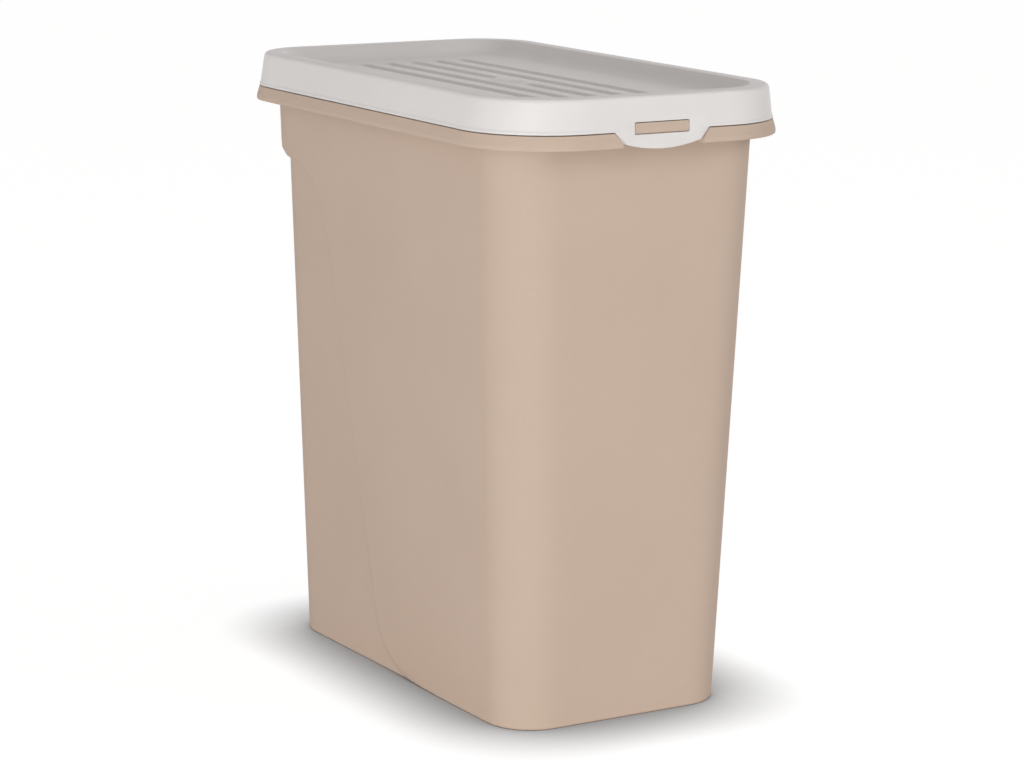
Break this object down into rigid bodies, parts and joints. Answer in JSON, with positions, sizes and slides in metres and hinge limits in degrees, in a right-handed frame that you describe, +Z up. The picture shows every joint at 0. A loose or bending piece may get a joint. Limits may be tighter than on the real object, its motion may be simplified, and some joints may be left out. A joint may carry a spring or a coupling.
{
  "type": "pet food bin",
  "caption": "Tall tapered pet food storage bin with a flared collar, a rear-hinged tray-top lid and a springy front latch tab.",
  "frame": {"origin": "middle of the bin's footprint, on the surface that it stands on", "axes": "+Z up, along the bin's height; -Y towards the latch at the front; X across the narrow side, parallel to the hinge axis"},
  "size_m": [0.2376, 0.3908, 0.43],
  "materials": {
    "beige_plastic": "satin moulded polypropylene, warm beige",
    "white_plastic": "satin moulded polypropylene, warm white"
  },
  "bodies": {
    "bin": {"bin_tub": "beige_plastic", "rim_collar": "beige_plastic"},
    "lid": {"lid": "white_plastic"},
    "latch": {"latch_tab": "white_plastic"}
  },
  "joints": [
    {"name": "lid_hinge", "type": "hinge", "parent": "bin", "child": "lid", "pos_m": [0, 0.19245, 0.4036], "axis": [-1, 0, 0], "range_deg": [0, 100]},
    {"name": "latch_flex", "type": "hinge", "parent": "lid", "child": "latch", "pos_m": [0, -0.19235, 0.418], "axis": [-1, 0, 0], "range_deg": [0, 8], "stiffness_Nm_per_rad": 0.6}
  ]
}
